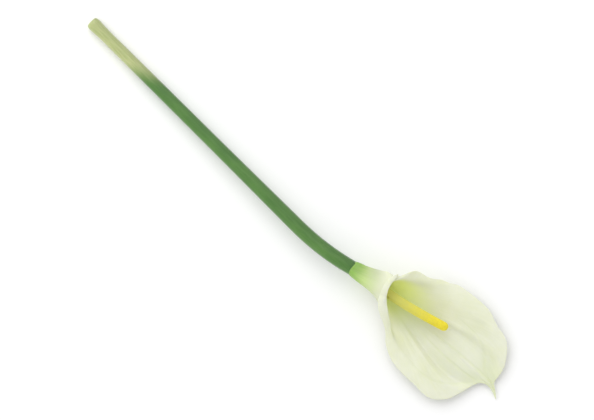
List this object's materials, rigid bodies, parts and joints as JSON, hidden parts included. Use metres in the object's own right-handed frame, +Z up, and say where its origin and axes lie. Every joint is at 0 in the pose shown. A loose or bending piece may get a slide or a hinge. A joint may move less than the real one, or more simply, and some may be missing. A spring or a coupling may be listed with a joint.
{
  "type": "calla lily flower",
  "caption": "Cut calla lily lying on its back: a long smooth stem, one white spathe rolled into a funnel that opens to a waved heart-shaped limb with a tail, and a yellow spadix inside.",
  "frame": {"origin": "on the surface that the flower lies on, under the middle of its length and width", "axes": "+X along the flower from the cut end of the stem to the tail of the spathe, +Z up, out of the open face of the spathe"},
  "size_m": [0.3652, 0.0704, 0.028],
  "materials": {
    "stem": "satin",
    "spathe": "satin",
    "spadix": "matte"
  },
  "bodies": {
    "root": {"stem": "stem", "spathe": "spathe", "spadix": "spadix"}
  },
  "joints": []
}
